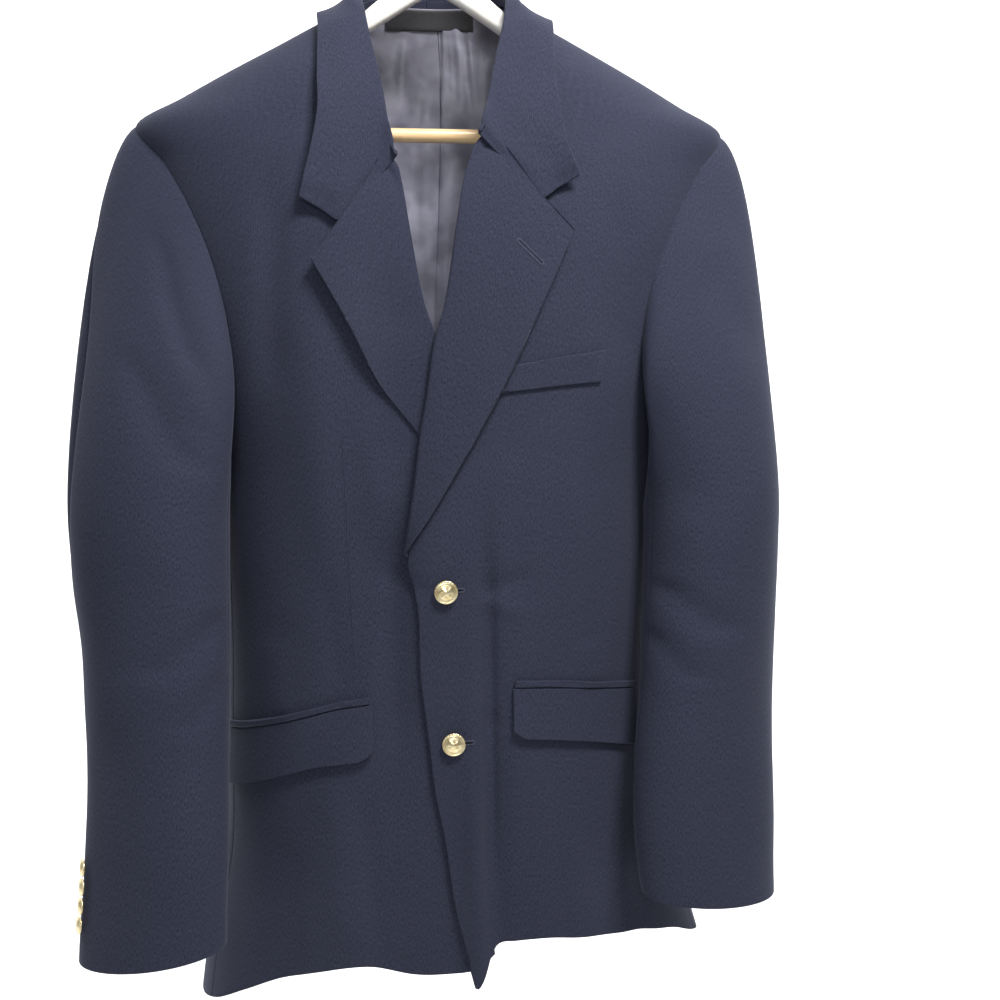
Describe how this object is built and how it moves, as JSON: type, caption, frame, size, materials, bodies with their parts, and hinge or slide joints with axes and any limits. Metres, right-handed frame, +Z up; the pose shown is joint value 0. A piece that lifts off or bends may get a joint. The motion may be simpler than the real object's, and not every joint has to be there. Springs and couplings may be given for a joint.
{
  "type": "blazer on a wooden hanger",
  "caption": "Single-breasted tailored blazer with notch lapels, welt and flap pockets and domed metal buttons, buttoned on a plain wooden hanger.",
  "frame": {"origin": "inside top of the hanger's hook, where it rests on a rail", "axes": "+Z up, the front of the blazer faces -Y, +X to the wearer's left"},
  "size_m": [0.5513, 0.249, 0.9195],
  "materials": {
    "navy_twill": "dry, fine wool twill",
    "grey_satin": "satin lining",
    "black_label": "woven, bare",
    "pale_wood": "clear satin varnish",
    "white_wood": "white satin lacquer",
    "brass": "polished, lightly patterned",
    "steel": "polished wire"
  },
  "bodies": {
    "root": {"back_left": "navy_twill", "back_lining_left": "grey_satin", "back_lining_right": "grey_satin", "back_right": "navy_twill", "breast_welt": "navy_twill", "collar": "navy_twill", "cuff_button_left_1": "brass", "cuff_button_left_2": "brass", "cuff_button_left_3": "brass", "cuff_button_left_4": "brass", "cuff_button_right_1": "brass", "cuff_button_right_2": "brass", "cuff_button_right_3": "brass", "cuff_button_right_4": "brass", "flap_left": "navy_twill", "flap_right": "navy_twill", "front_button_lower": "brass", "front_button_upper": "brass", "front_left": "navy_twill", "front_right": "navy_twill", "hanger_arms": "white_wood", "hanger_bar": "pale_wood", "hanger_hook": "steel", "jet_left": "navy_twill", "jet_right": "navy_twill", "lapel_left": "navy_twill", "lapel_right": "navy_twill", "neck_label": "black_label", "side_left": "navy_twill", "side_right": "navy_twill", "top_sleeve_left": "navy_twill", "top_sleeve_right": "navy_twill", "under_sleeve_left": "navy_twill", "under_sleeve_right": "navy_twill"}
  },
  "joints": []
}
